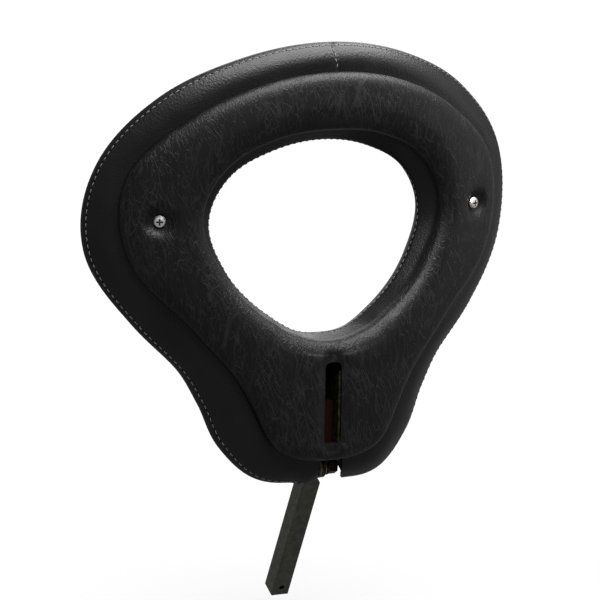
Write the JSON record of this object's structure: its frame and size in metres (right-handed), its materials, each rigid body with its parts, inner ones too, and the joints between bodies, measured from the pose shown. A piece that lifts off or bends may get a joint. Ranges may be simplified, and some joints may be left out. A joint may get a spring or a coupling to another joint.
{
  "type": "face cradle cushion",
  "caption": "Padded ring head rest with a rounded triangular face hole, bent backwards at the sides, on a short square steel bar with a friction tilt hinge at the chin end",
  "frame": {"origin": "middle of the flat free end of the support bar, where the bar is held in the table's socket", "axes": "+Z from chin to forehead with the cushion upright, -Y the rear side with the two screws, +Y the face side, +X to the right seen from the rear"},
  "size_m": [0.3088, 0.0902, 0.3861],
  "materials": {
    "leatherette": "satin fine grain",
    "grained_vinyl": "satin wrinkled grain",
    "foam": "open cell foam",
    "plywood": "sealed birch ply",
    "bar_steel": "satin dark zinc",
    "yellow_zinc": "yellow zinc plate",
    "bright_steel": "bright zinc plate",
    "spring_steel": "oiled",
    "friction_fibre": "pressed fibre"
  },
  "bodies": {
    "bar": {"support_bar": "bar_steel"},
    "headrest": {"front_panel_cover": "leatherette", "outer_boxing": "leatherette", "inner_boxing": "leatherette", "rear_cover": "grained_vinyl", "foam_core": "foam", "rear_panel_foam": "foam", "base_board": "plywood", "rear_panel_board": "plywood", "hinge_bracket_left": "yellow_zinc", "hinge_bracket_right": "yellow_zinc", "pivot_bolt": "yellow_zinc", "pivot_nut": "yellow_zinc", "bolt_washer": "yellow_zinc", "nut_washer": "yellow_zinc", "tee_nut_1": "yellow_zinc", "tee_nut_2": "yellow_zinc", "tee_nut_3": "yellow_zinc", "tee_nut_4": "yellow_zinc", "rear_cover_screw_left": "bright_steel", "rear_cover_screw_right": "bright_steel", "disc_spring": "spring_steel", "bracket_screw_1": "spring_steel", "bracket_screw_2": "spring_steel", "bracket_screw_3": "spring_steel", "bracket_screw_4": "spring_steel", "friction_washer_left": "friction_fibre", "friction_washer_right": "friction_fibre"}
  },
  "joints": [
    {"name": "headrest_tilt", "type": "hinge", "parent": "bar", "child": "headrest", "pos_m": [0, -0.05164, 0.09712], "axis": [1, 0, 0], "range_deg": [-45, 25]}
  ]
}
